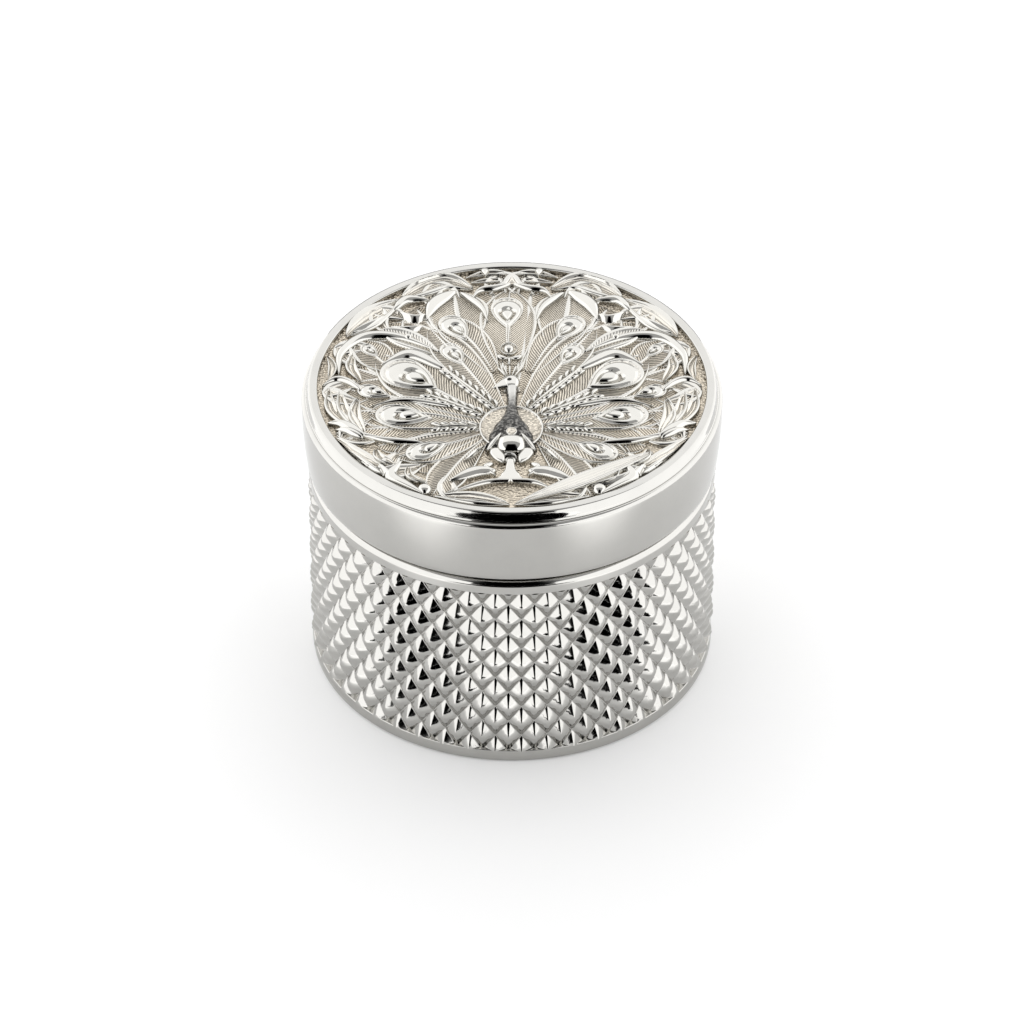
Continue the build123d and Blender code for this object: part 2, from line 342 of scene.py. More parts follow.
HALO_RINGS = (
    (1.0, 0.1, 0.6), (0.99, 0.8, 1.0), (0.96, 1.0, 1.0), (0.93, 0.8, 0.8),
    (0.91, 0.5, 0.0), (0.6, 0.6, 0.0), (0.04, 0.7, 0.0),
)
SHIELD_RINGS = ((1.0, 0.1, 0.6), (0.97, 0.9, 1.0), (0.88, 1.0, 0.9), (0.78, 0.97, 0.0), (0.04, 1.02, 0.0))
PUPIL_RINGS = ((1.0, 0.1, 0.0), (0.85, 0.9, 0.0), (0.04, 1.0, 0.0))
PAD_RINGS = (
    (1.0, 0.05, 0.6), (0.98, 0.5, 1.0), (0.9, 0.78, 1.0),
    (0.7, 0.93, 1.0), (0.35, 0.99, 1.0), (0.04, 1.0, 1.0),
)


# Relief meshes: distance between stations along a strip, their fewest and most, points round a drop,
# and polish that doesn't fade
STATION_PITCH = 0.28
STATION_LIMITS = (12, 60)
DROP_STEPS = 44
PLAIN_FADE = ((0, 1.0), (1, 1.0))


class Relief:
    """Raised forms on the lid's face, gathered into one mesh with polish and barbs at each point."""

    def __init__(self, lid):
        self.reach = lid.field_radius / MM - BEZEL_CLEARANCE
        self.barb_pitch = lid.barb_pitch / MM
        self.points = []
        self.faces = []
        self.polish = []
        self.barbs = []

    def loft(self, loops, polish, barbs, mirror=False):
        """Skin over closed loops of equal length, capped at both ends."""
        for side in (1, -1) if mirror else (1,):
            first = len(self.points)
            count = len(loops[0])
            for loop in loops:
                for x, y, z in loop:
                    inward = min(1.0, self.reach / max(float(np.hypot(x, y)), 1e-6))
                    self.points.append((side * x * inward, y * inward, z))
            self.polish += [value for row in polish for value in row]
            self.barbs += [value for row in barbs for value in row]
            for row in range(len(loops) - 1):
                for step in range(count):
                    following = (step + 1) % count
                    low = first + row * count
                    high = low + count
                    self.faces.append((low + step, low + following, high + following, high + step))
            self.faces.append(tuple(first + step for step in range(count)))
            last = first + (len(loops) - 1) * count
            self.faces.append(tuple(last + step for step in range(count)))

    def strip(
        self, spine, half_width, height, section, mirror=False, along_grain=False, slant=0.9,
        root=0.25, broadest=0.55, tip=0.06, fullness=0.8, widths=None, heights=None, fade=PLAIN_FADE,
    ):
        """Form along a spine: a vane, blade, roll or trough that swells and falls away at its ends."""
        rough_length = sum(float(np.hypot(b[0] - a[0], b[1] - a[1])) for a, b in zip(spine, spine[1:]))
        count = int(np.clip(rough_length / STATION_PITCH, *STATION_LIMITS))
        path, length = smooth_path(spine, count)
        share = np.linspace(0, 1, count)
        spread = keyed(share, widths) if widths else swell(share, root, broadest, tip, fullness)
        rise = keyed(share, heights) if heights else 0.3 + 0.7 * np.clip(spread, 0, 1) ** 0.6
        shine_along = keyed(share, fade)
        forward = np.gradient(path, axis=0)
        forward /= np.linalg.norm(forward, axis=1)[:, None]
        sideways = np.column_stack([forward[:, 1], -forward[:, 0]])
        loops, polish, barbs = [], [], []
        for station in range(count):
            width = half_width * spread[station]
            crown = height * rise[station]
            loop, shine, grain = [], [], []
            for across, up, shiny in section:
                x, y = path[station] + sideways[station] * across * width
                loop.append((x, y, GROUND + crown * up))
                shine.append(shiny * shine_along[station])
                if along_grain:
                    grain.append(across * half_width / self.barb_pitch)
                else:
                    grain.append((share[station] * length - slant * abs(across) * width) / self.barb_pitch)
            for across in (section[-1][0], section[0][0]):
                x, y = path[station] + sideways[station] * across * width
                loop.append((x, y, GROUND - RELIEF_SINK))
            loops.append(loop)
            polish.append(shine + [0.0, 0.0])
            barbs.append(grain + [0.0, 0.0])
        self.loft(loops, polish, barbs, mirror)

    def drop(
        self, middle, toward, half_length, half_width, height, rings=EYE_RINGS,
        point=0.9, shift=0.3, lift=0.0, boxy=1.0, mirror=False,
    ):
        """Drop with its point toward a place, built of nested rings: a feather's eye or a bead."""
        middle = np.array(middle, float)
        forward = np.array(toward, float) - middle
        forward /= np.linalg.norm(forward)
        sideways = np.array([forward[1], -forward[0]])
        turns = tau * np.arange(DROP_STEPS) / DROP_STEPS
        across = np.sin(turns) * np.sin(turns / 2) ** point
        across = np.sign(across) * np.abs(across / np.abs(across).max()) ** boxy
        along = np.sign(np.cos(turns)) * np.abs(np.cos(turns)) ** boxy
        loops, polish = [], []
        for size, level, shiny in (
            (1.0, GROUND - RELIEF_SINK, 0.0),
            *((size, GROUND + lift + height * up, shiny) for size, up, shiny in rings),
        ):
            centre = middle + forward * half_length * shift * (1 - size)
            ring = (
                centre
                + np.outer(across * half_width * size, sideways)
                + np.outer(along * half_length * size, forward)
            )
            loops.append([(x, y, level) for x, y in ring])
            polish.append([shiny] * DROP_STEPS)
        self.loft(loops, polish, [[0.0] * DROP_STEPS] * len(loops), mirror)

    def boss(self, middle, half_length, half_width, height, rings=DOME_RINGS, **shape):
        """Drop without a point: a round or oval boss."""
        away = (middle[0], middle[1] - 1)
        self.drop(middle, away, half_length, half_width, height, rings, point=0.0, shift=0.0, **shape)

    def build(self, name, material):
        """Mesh object of all the forms, with its two values stored on the points."""
        piece = piece_from(name, self.points, self.faces, material)
        for label, values in (("polish", self.polish), ("barbs", self.barbs)):
            layer = piece.data.attributes.new(label, "FLOAT", "POINT")
            layer.data.foreach_set("value", np.array(values, np.float32))
        return piece


def feather(relief, spine, half_width, height, eye=None, eye_height=0.9, **shape):
    """Feather with a barbed vane and, where a place and size are given, an eye that points to its root."""
    relief.strip(spine, half_width, height, VANE, **shape)
    if eye:
        middle, half_length, eye_width = eye
        relief.drop(middle, spine[0], half_length, eye_width, eye_height, mirror=shape.get("mirror", False))


def rear_feathers(relief, height, reach=20.0, count=12):
    """Low layer of barbed feathers that closes the fan behind the long ones."""
    heart = np.array([-0.2, -6.0])
    for number in range(count):
        lean = radians(5 + 127 * number / (count - 1))
        way = np.array([-sin(lean), cos(lean)])
        along = float(heart @ way)
        length = (along**2 - float(heart @ heart) + reach**2) ** 0.5 - along
        spine = [tuple(heart + way * length * share) for share in (0.2, 0.6, 1.0)]
        relief.strip(
            spine, 0.17 * length, height, VANE, mirror=True, broadest=0.72, root=0.2, tip=0.1, fullness=0.5
        )


def rear_leaves(relief, height, inner=19.0, outer=23.4, count=15):
    """Low folded leaves that close the border behind the scrolls."""
    for number in range(count):
        turn = radians(-66 + 158 * number / (count - 1))
        lean = radians(9 if number % 2 else -6)
        spine = [
            (-radius * cos(turn + lean * share), radius * sin(turn + lean * share))
            for radius, share in ((inner, 0), ((inner + outer) / 2, 0.35), (outer, 1))
        ]
        relief.strip(spine, 1.4, height, TROUGH, mirror=True, along_grain=True, broadest=0.6, root=0.2)


def long_feathers(relief, vane, eye):
    """Feathers of the fan from the middle outward to the left, each mirrored on the right."""
    pair = {"mirror": True, "broadest": 0.65, "root": 0.3, "tip": 0.05, "fullness": 0.7}
    feather(relief, ((-5.4, 8.6), (-6.7, 14.0), (-7.3, 19.4)), 4.1, vane, slant=1.3, **pair)
    single = {"root": 0.4, "broadest": 0.6, "tip": 0.05, "slant": 1.3}
    middle_eye = ((-0.6, 14.7), 3.2, 2.1)
    feather(relief, ((-0.4, 4.4), (-0.5, 12.4), (-0.3, 19.8)), 3.7, vane * 1.1, middle_eye, eye, **single)
    # Spine, half width and rise of the vane, then place, half length, half width and rise of the eye
    for spine, half_width, vane_rise, place, half_length, eye_width, eye_rise in (
        (((-2.3, 3.0), (-5.0, 8.9), (-9.2, 13.8)), 2.6, 1.25, (-7.0, 11.5), 2.9, 1.75, 1.0),
        (((-1.5, -4.5), (-5.0, 2.4), (-10.2, 11.6)), 2.6, 1.35, (-7.2, 6.2), 2.5, 1.4, 1.0),
        (((-2.7, -5.7), (-8.4, -1.5), (-16.6, 5.6)), 4.1, 1.15, (-12.5, 1.7), 4.2, 2.8, 1.15),
        (((-3.8, -7.6), (-10.3, -5.7), (-17.6, -5.4)), 3.3, 1.3, (-13.3, -6.1), 3.6, 2.05, 1.1),
        (((-3.6, -9.4), (-7.6, -11.5), (-14.0, -14.0)), 2.7, 1.25, (-10.3, -12.7), 2.9, 1.6, 1.0),
    ):
        eye_shape = (place, half_length, eye_width)
        feather(relief, spine, half_width, vane * vane_rise, eye_shape, eye * eye_rise, **pair)
    feather(relief, ((-3.6, -10.6), (-6.6, -15.2), (-9.7, -21.4)), 2.5, vane, **pair)


def short_feathers(relief, vane, eye):
    """Small feathers between the long ones and the border, and the sprig above the bird's head."""
    fold = ((-9.2, 6.6), (-12.2, 8.9), (-16.4, 11.3))
    relief.strip(fold, 1.7, eye * 0.9, TROUGH, mirror=True, broadest=0.6)
    relief.boss((-12.9, 9.6), 0.6, 0.6, eye * 1.1, mirror=True)
    small = ((-14.5, 3.1), (-17.0, 6.2), (-18.9, 9.3))
    feather(relief, small, 2.5, vane, ((-17.6, 7.0), 1.6, 0.9), eye * 0.9, mirror=True, broadest=0.6)
    relief.drop((-17.0, -1.4), (-14.0, -2.7), 2.2, 1.25, eye, mirror=True)
    relief.strip(((-0.5, 11.8), (-0.4, 8.2)), 0.2, eye, ROLL, root=0.8, tip=0.8)
    relief.drop((-0.4, 7.2), (-0.4, 12.0), 1.2, 1.05, eye * 0.8, HALO_RINGS, point=0.0, shift=0.0)
    relief.boss((-0.4, 7.15), 0.85, 0.75, eye * 1.2)
    relief.strip(((-0.4, 5.5), (-1.3, 5.6), (-1.9, 6.3)), 0.36, eye * 0.8, PAD)
    relief.strip(((-0.4, 5.5), (0.7, 5.6), (1.3, 6.3)), 0.36, eye * 0.8, PAD)
    relief.strip(((-0.4, 6.1), (-0.3, 4.4)), 0.26, eye * 0.7, ROLL)


def shaft_leaflets(relief, height):
    """Knotted rows of small leaves along three feather shafts."""
    shafts = (
        ((-2.0, -4.4), (-8.4, 3.4), 8),
        ((-3.6, -5.7), (-10.9, -1.5), 7),
        ((-4.2, -8.1), (-9.8, -8.3), 5),
    )
    for start, end, count in shafts:
        start = np.array(start)
        along = (np.array(end) - start) / count
        aside = np.array([along[1], -along[0]])
        relief.strip((tuple(start), tuple(start + along * count)), 0.2, height, ROLL, mirror=True)
        for number in range(count):
            for side in (1, -1):
                root = start + along * number
                tip = root + along * 1.15 + aside * side * 0.62
                bend = root + along * 0.4 + aside * side * 0.45
                relief.strip(
                    (tuple(root), tuple(bend), tuple(tip)), 0.3, height, ROLL, mirror=True, tip=0.3, root=0.1
                )


def border_leaves(relief, height):
    """Scrolling leaves between the fan and the bezel, left half and its mirror image."""
    roll = {"section": ROLL, "mirror": True, "root": 0.12, "tip": 0.12, "fullness": 0.6}
    fold = {"section": TROUGH, "mirror": True, "along_grain": True, "root": 0.1}
    blade = {"section": BLADE, "mirror": True, "root": 0.1}
    hood = height * 1.1
    for spine, half_width, rise, kind in (
        (((-10.7, 13.4), (-9.6, 16.8), (-7.0, 19.2)), 1.1, hood, roll),
        (((-3.0, 13.0), (-4.0, 16.0), (-6.6, 18.9)), 0.55, hood, roll),
        (((-16.2, 4.2), (-12.6, 6.3), (-8.4, 3.4)), 1.0, hood, roll),
        (((-17.4, -4.0), (-13.0, -3.0), (-6.6, -4.4)), 0.4, height * 0.9, roll),
        (((-4.9, 19.9), (-8.8, 21.2), (-13.8, 18.0)), 1.9, height, fold),
        (((-13.8, 17.6), (-17.2, 14.2), (-20.6, 10.2)), 1.9, height, fold),
        (((-15.4, 14.2), (-17.6, 12.4), (-20.0, 10.6)), 0.85, hood, blade),
        (((-10.4, 17.4), (-13.2, 17.4), (-14.8, 15.2)), 0.75, hood, roll),
        (((-14.2, 14.9), (-12.2, 13.6), (-10.6, 14.4)), 0.85, hood, blade),
        (((-15.2, 11.9), (-13.2, 11.4), (-11.0, 11.9)), 0.7, height, blade),
        (((-8.8, 6.8), (-14.1, 9.9), (-18.4, 9.9), (-21.2, 6.6), (-21.4, 2.4)), 0.75, height, roll),
        (((-22.9, 6.2), (-22.2, 3.6), (-22.6, 1.2)), 0.6, height, fold),
        (((-19.6, 6.6), (-19.9, 3.6), (-18.6, 0.8)), 0.8, height, fold),
        (((-23.4, 0.0), (-21.8, 1.2), (-20.2, 0.7), (-18.6, -1.0)), 0.55, hood, roll),
        (((-22.6, -0.4), (-22.0, -5.0), (-18.2, -9.7)), 1.0, height, fold),
        (((-21.2, -0.6), (-20.6, -5.0), (-18.2, -9.5)), 0.95, height, fold),
        (((-18.9, -2.2), (-19.3, -6.0), (-18.0, -9.5)), 0.95, height, fold),
        (((-22.6, -7.4), (-20.8, -7.6), (-18.0, -10.0)), 0.85, hood, roll),
        (((-21.6, -8.8), (-20.2, -9.0), (-18.2, -10.4)), 0.6, hood, roll),
        (((-18.4, -9.9), (-15.3, -10.8), (-10.7, -11.4)), 0.55, height, roll),
        (((-21.6, -10.2), (-19.0, -13.9), (-15.4, -16.4)), 1.5, height, fold),
        (((-20.1, -12.7), (-18.2, -15.0), (-15.8, -17.4)), 0.85, hood, blade),
        (((-16.6, -12.4), (-16.2, -14.2), (-14.2, -15.6)), 0.8, height, fold),
        (((-13.4, -14.8), (-14.6, -18.0), (-10.8, -21.4)), 1.1, hood, roll),
        (((-16.4, -15.2), (-15.2, -17.0), (-14.2, -18.6)), 0.8, height, blade),
        (((-12.6, -15.6), (-12.4, -18.0), (-10.2, -19.2)), 0.6, height, fold),
        (((-9.4, -21.6), (-4.6, -22.2), (-0.3, -23.2)), 1.3, height, fold),
        (((-6.8, -22.6), (-4.6, -23.0), (-2.2, -23.3)), 0.5, hood, blade),
        (((-7.6, -18.7), (-4.4, -16.9), (-1.9, -16.8)), 0.95, hood, roll),
        (((-2.0, -17.6), (-3.2, -16.2), (-2.2, -15.4)), 0.5, height, roll),
        (((-3.3, -11.9), (-4.5, -13.2), (-5.9, -15.0)), 0.42, height, blade),
        (((-5.0, 17.7), (-4.0, 19.3), (-2.0, 19.8), (0.0, 20.6)), 0.55, hood, roll),
        (((-5.2, 21.2), (-3.0, 21.5), (-0.9, 21.9)), 0.6, height * 0.6, fold),
        (((-5.8, 22.2), (-2.8, 23.1), (0.0, 23.0)), 0.7, height * 0.7, fold),
    ):
        relief.strip(spine, half_width, rise, **kind)
    relief.boss((-10.6, -20.4), 0.95, 0.95, height * 1.15, mirror=True)
    relief.strip(((-7.4, -20.9), (-3.2, -18.95), (-0.2, -18.6)), 0.4, height * 0.8, ROLL, tip=0.8)
    relief.strip(((4.6, -20.0), (2.6, -18.85), (-0.2, -18.6)), 0.4, height * 0.8, ROLL, tip=0.8)
    long_leaf = ((1.8, -22.4), (8.8, -18.7), (17.2, -13.2))
    relief.strip(long_leaf, 1.2, hood, CHANNEL, along_grain=True, root=0.3, broadest=0.45, tip=0.12)
    relief.strip(((9.4, -19.6), (13.4, -18.0), (16.0, -15.6)), 0.8, height, BLADE, root=0.1)
    relief.drop((-3.4, 23.0), (-3.2, 20.0), 1.0, 0.6, hood, DOME_RINGS, mirror=True)


def halo(relief, height):
    """Stippled halo behind the bird with a raised rim."""
    relief.boss((-0.1, -8.2), 4.4, 4.0, height, HALO_RINGS)


def bird_forms(relief, height):
    """Polished parts of the peacock: head, beak, crest, wing edges, belly, thighs and legs."""
    relief.boss((-0.08, 0.85), 1.4, 1.1, height * 0.54)
    beak_widths = ((0, 1.0), (0.3, 0.86), (0.65, 0.5), (0.9, 0.22), (1, 0.1))
    beak_heights = ((0, 1.0), (1, 0.6))
    beak = ((-0.3, 0.75), (-1.3, 0.3), (-2.35, -0.35))
    relief.strip(beak, 1.0, height * 0.44, PAD, widths=beak_widths, heights=beak_heights)
    for number in range(5):
        lean = radians(-32 + 16 * number)
        root, tip = [(-0.27 + reach * sin(lean), 1.15 + reach * cos(lean)) for reach in (1.15, 2.9)]
        relief.strip((root, tip), 0.2, height * 0.38, ROLL, root=0.5, broadest=0.8, tip=0.6)
    for side in (-1, 1):
        wing = [(-0.1 + side * aside, y) for aside, y in ((1.3, -10.5), (2.1, -11.6), (3.0, -13.0))]
        relief.strip(wing, 0.34, height * 0.8, PAD, root=0.5, heights=((0, 1.0), (1, 0.55)))
        thigh = (-0.05 + side * 1.65, -13.75)
        knee = (-0.05 + side * 0.75, -16.0)
        relief.drop(thigh, knee, 1.65, 0.92, height * 0.5, PAD_RINGS, point=0.45)
    relief.drop((-0.05, -10.2), (-0.05, -12.0), 0.8, 0.7, height * 0.86, SHIELD_RINGS, point=0.3)
    relief.boss((-0.08, -11.9), 1.5, 1.9, height * 1.02, boxy=0.72)
    relief.boss((-0.2, -14.5), 0.75, 0.8, height * 0.34)
    leg = ((-0.2, -14.7), (-0.2, -16.4), (-0.2, -18.7))
    leg_widths = ((0, 0.16), (0.4, 0.24), (0.75, 0.48), (1, 1.0))
    leg_heights = ((0, 1.0), (0.7, 0.8), (1, 0.45))
    relief.strip(leg, 2.6, height * 0.5, PAD, widths=leg_widths, heights=leg_heights)


def plumage_forms(relief, height):
    """Neck that darkens down into the scaly oxidised breast, its fade a painted shade, the arch under the
    belly and the pupil.
    """
    relief.strip(
        ((-0.02, 0.4), (0.02, -3.0), (-0.05, -6.5), (-0.1, -10.0), (-0.1, -12.6)),
        3.15,
        height,
        BREAST,
        widths=(
            (0, 0.25), (0.25, 0.205), (0.367, 0.22), (0.453, 0.29),
            (0.54, 0.43), (0.664, 0.7), (0.797, 0.88), (1, 1.0),
        ),
        heights=((0, 0.42), (0.25, 0.46), (0.45, 0.6), (0.66, 0.78), (0.85, 0.74), (1, 0.5)),
        # Painted shade: the neck's polish, and with it its silver colour, fades down into the breast's dark
        # oxide, standing in for the neck's slope turning away from the light
        fade=((0, 1.1), (0.12, 1.1), (0.3, 0.4), (0.42, 0.08), (1, 0.02)),
    )
    arch = ((-1.2, -14.5), (-0.95, -13.8), (-0.3, -13.55), (0.35, -13.8), (0.6, -14.5))
    relief.strip(arch, 0.2, height * 0.45, BREAST)
    relief.boss((-0.3, 0.75), 0.28, 0.3, 0.1, PUPIL_RINGS, lift=height * 0.5)


class NodeKit:
    """Short calls for building a node tree."""

    def __init__(self, tree):
        self.tree = tree

    def add(self, kind, settings=None, **inputs):
        """New node with its settings, and inputs set to a value or linked from a socket."""
        made = self.tree.nodes.new(kind)
        for key, value in (settings or {}).items():
            setattr(made, key, value)
        for key, value in inputs.items():
            self.put(made, key.replace("_", " "), value)
        return made

    def put(self, made, key, value):
        """Set one input by its name or place."""
        socket = made.inputs[key]
        if isinstance(value, bpy.types.NodeSocket):
            self.tree.links.new(value, socket)
        else:
            socket.default_value = value

    def math(self, operation, a, b=None, c=None, clamp=False):
        """Math node on one, two or three values."""
        made = self.add("ShaderNodeMath", {"operation": operation, "use_clamp": clamp})
        for place, value in enumerate((a, b, c)):
            if value is not None:
                self.put(made, place, value)
        return made.outputs[0]

    def product(self, value, *others):
        """Product of two or more values."""
        for other in others:
            value = self.math("MULTIPLY", value, other)
        return value

    def length(self, a, b):
        """Length of a flat vector from its two parts."""
        return self.math("SQRT", self.math("ADD", self.math("POWER", a, 2.0), self.math("POWER", b, 2.0)))

    def place(self):
        """Place on the object."""
        return self.add("ShaderNodeTexCoord").outputs["Object"]

    def axes(self, vector):
        """The three parts of a vector."""
        return self.add("ShaderNodeSeparateXYZ", Vector=vector).outputs

    def noise(self, vector, scale, detail=2.0, roughness=0.5):
        """Value of a noise texture."""
        kind = "ShaderNodeTexNoise"
        return self.add(kind, Vector=vector, Scale=scale, Detail=detail, Roughness=roughness).outputs[0]

    def attribute(self, name):
        """Value stored on the points of a mesh."""
        return self.add("ShaderNodeAttribute", {"attribute_name": name}).outputs["Fac"]

    def scaled(self, colour, factor):
        """Colour made lighter or darker."""
        made = self.add("ShaderNodeVectorMath", {"operation": "SCALE"})
        self.put(made, 0, colour)
        self.put(made, "Scale", factor)
        return made.outputs[0]

    def spread(self, value, low, high, to_low=0.0, to_high=1.0):
        """Smooth step of a value between two limits."""
        made = self.add("ShaderNodeMapRange", {"interpolation_type": "SMOOTHSTEP"})
        for place, given in enumerate((value, low, high, to_low, to_high)):
            self.put(made, place, given)
        return made.outputs[0]

    def mix(self, factor, a, b):
        """Colour between two colours."""
        made = self.add("ShaderNodeMix", {"data_type": "RGBA"})
        self.put(made, 0, factor)
        self.put(made, 6, a)
        self.put(made, 7, b)
        return made.outputs[2]


def shader_group(name, inputs, outputs):
    """Empty shader node group with named sockets, and its inner ends."""
    tree = bpy.data.node_groups.new(name, "ShaderNodeTree")
    for label, kind, default in inputs:
        socket = tree.interface.new_socket(label, in_out="INPUT", socket_type=kind)
        socket.default_value = default
    for label, kind in outputs:
        tree.interface.new_socket(label, in_out="OUTPUT", socket_type=kind)
    kit = NodeKit(tree)
    return kit, kit.add("NodeGroupInput").outputs, kit.add("NodeGroupOutput")


def handling_group():
    """Soft smudges and fine wipe marks that any polished surface picks up."""
    if "Handling Marks" in bpy.data.node_groups:
        return bpy.data.node_groups["Handling Marks"]
    kit, given, out = shader_group(
        "Handling Marks",
        (
            ("Roughness", "NodeSocketFloat", 0.06),
            ("Smudge", "NodeSocketFloat", 0.04),
            ("Colour", "NodeSocketColor", (0.7, 0.7, 0.7, 1.0)),
        ),
        (("Roughness", "NodeSocketFloat"), ("Colour", "NodeSocketColor"), ("Height", "NodeSocketFloat")),
    )
    place = kit.place()
    smudge = kit.noise(place, 170.0, detail=4.0, roughness=0.6)
    cloud = kit.spread(smudge, 0.4, 0.75)
    dim = kit.spread(smudge, 0.3, 0.8, 1.0, 0.94)
    kit.put(out, "Roughness", kit.math("MULTIPLY_ADD", cloud, given["Smudge"], given["Roughness"]))
    kit.put(out, "Colour", kit.scaled(given["Colour"], dim))
    kit.put(out, "Height", kit.noise(place, 1500.0))
    return bpy.data.node_groups["Handling Marks"]


def handled(kit, roughness, smudge, colour):
    """Outputs of the handling marks on a silver of one roughness and colour."""
    marks = kit.add("ShaderNodeGroup", {"node_tree": handling_group()})
    kit.put(marks, "Roughness", roughness)
    kit.put(marks, "Smudge", smudge)
    kit.put(marks, "Colour", (*colour, 1.0))
    return marks.outputs


def coat(kit, shader, colour, roughness, bump):
    """Join a colour, a roughness and a bump to a silver's shader."""
    kit.put(shader, "Base Color", colour)
    kit.put(shader, "Roughness", roughness)
    kit.put(shader, "Normal", bump.outputs[0])


def polish_nodes(kit, shader, finish):
    """Mirror-polished silver with faint smudges."""
    marks = handled(kit, finish.polished_roughness, 0.05, finish.silver)
    bump = kit.add("ShaderNodeBump", Strength=0.02, Distance=0.02 * MM, Height=marks["Height"])
    coat(kit, shader, marks["Colour"], marks["Roughness"], bump)


def satin_nodes(kit, shader, finish):
    """Turned satin silver of the hidden faces: the cup and the lid's lining."""
    marks = handled(kit, 0.2, 0.1, finish.silver)
    axes = kit.axes(kit.place())
    turned = kit.add("ShaderNodeCombineXYZ", X=kit.length(axes[0], axes[1]), Y=axes[2])
    rings = kit.noise(turned.outputs[0], 6000.0)
    bump = kit.add("ShaderNodeBump", Strength=0.15, Distance=0.03 * MM, Height=rings)
    coat(kit, shader, marks["Colour"], marks["Roughness"], bump)


def relief_nodes(kit, shader, finish):
    """Struck relief: polished where raised, frosted and warm in the recesses with tarnish and painted shade,
    with engraved barbs and stipple whose grooves and pits carry painted shade and whose crests carry a faint
    painted highlight.
    """
    polish = kit.attribute("polish")
    barbs = kit.attribute("barbs")
    place = kit.place()
    lifted = kit.spread(kit.axes(place)[2], (GROUND - 0.05) * MM, (GROUND + 0.5) * MM)
    marks = handled(kit, finish.polished_roughness, 0.06, finish.raised)
    matt = kit.math("SUBTRACT", 1.0, polish)
    rough = kit.math("MULTIPLY_ADD", matt, finish.frosted_roughness, marks["Roughness"])
    sway = kit.noise(place, 900.0, detail=1.0)
    wave = kit.math("SINE", kit.product(kit.math("MULTIPLY_ADD", sway, 0.5, barbs), tau))
    grooved = kit.product(wave, matt)
    stipple = kit.add("ShaderNodeTexVoronoi", Vector=place, Scale=3100.0).outputs["Distance"]
    smooth = kit.math("COMPARE", barbs, 0.0, 0.001)
    dotted = kit.product(stipple, matt, smooth)
    barb_depth, dot_depth = 0.55, 1.1
    engraved = kit.math("MULTIPLY_ADD", dotted, -dot_depth, kit.product(grooved, barb_depth))
    bump = kit.add("ShaderNodeBump", Strength=1.0, Distance=0.11 * MM, Height=engraved)
    # Tarnish and painted shade: the frost turns darker and warmer toward the ground, by height alone
    frost = kit.mix(lifted, (*finish.recess_tarnish_and_shade, 1.0), (*finish.frosted, 1.0))
    # Painted shade and highlight: the frost is darkened in the barb grooves and stipple pits and lightened a
    # little on their crests, following the bump
    line = kit.spread(grooved, -0.9, 0.4, 0.3, 1.05)
    dot = kit.spread(stipple, 0.15, 0.65, 1.05, 0.56)
    dimmed = kit.math("MULTIPLY_ADD", kit.math("SUBTRACT", dot, 1.0), smooth, 1.0)
    frost_with_groove_shade = kit.scaled(frost, kit.product(line, dimmed))
    coat(kit, shader, kit.mix(polish, frost_with_groove_shade, marks["Colour"]), rough, bump)


def dark_nodes(kit, shader, finish):
    """Oxidised silver with small scales, for the peacock's breast."""
    scales = kit.noise(kit.place(), 2300.0)
    polish = kit.attribute("polish")
    tone = kit.scaled((*finish.oxidised,), kit.spread(scales, 0.42, 0.66, 0.1, 2.4))
    matt = kit.math("SUBTRACT", 1.0, polish, clamp=True)
    bump = kit.add("ShaderNodeBump", Strength=kit.product(matt, 0.8), Distance=0.12 * MM, Height=scales)
    rough = kit.math("MULTIPLY_ADD", matt, finish.frosted_roughness, finish.polished_roughness)
    coat(kit, shader, kit.mix(polish, tone, (*finish.silver, 1.0)), rough, bump)


SILVERS = {
    "silver_polish": polish_nodes,
    "silver_satin": satin_nodes,
    "silver_relief": relief_nodes,
    "silver_dark": dark_nodes,
}


def silver(name):
    """One of the silvers, made when it is first asked for."""
    if name not in bpy.data.materials:
        material = bpy.data.materials.new(name)
        material.use_nodes = True
        shader = material.node_tree.nodes["Principled BSDF"]
        shader.inputs["Metallic"].default_value = 1.0
        SILVERS[name](NodeKit(material.node_tree), shader, bpy.context.scene.kumkum_box.finish)
    return bpy.data.materials[name]


def stud_patch(settings):
    """One stud, laid flat: its four facets in square rings, x as angle, y as height and z as rise."""
    rings = (1.0, 0.95, 0.58, 0.32, 0.14)
    bevel = settings.stud_ridge_bevel
    sides = (-1.0, 0.75 * bevel - 1, 1.25 * bevel - 1, 1 - 1.25 * bevel, 1 - 0.75 * bevel)
    points, faces = [], []
    for size in rings:
        for side in range(4):
            for place in sides:
                a, b = size, size * place
                for _ in range(side):
                    a, b = -b, a
                points.append((a, b))
    points.append((0.0, 0.0))
    count = 4 * len(sides)
    for ring in range(len(rings) - 1):
        for step in range(count):
            following = (step + 1) % count
            low = ring * count
            faces.append((low + step, low + following, low + count + following, low + count + step))
    last = (len(rings) - 1) * count
    for step in range(count):
        faces.append((last + step, last + (step + 1) % count, len(points) - 1))
    tip = settings.stud_tip_round
    full = (1 + tip**2) ** 0.5 - tip
    placed = []
    for a, b in points:
        reach = max(abs(a), abs(b), (abs(a) + abs(b)) / (2 - bevel))
        rise = 1 - ((reach**2 + tip**2) ** 0.5 - tip) / full
        placed.append(((a - b) / 2, (a + b) / 2, rise))
    return placed, faces


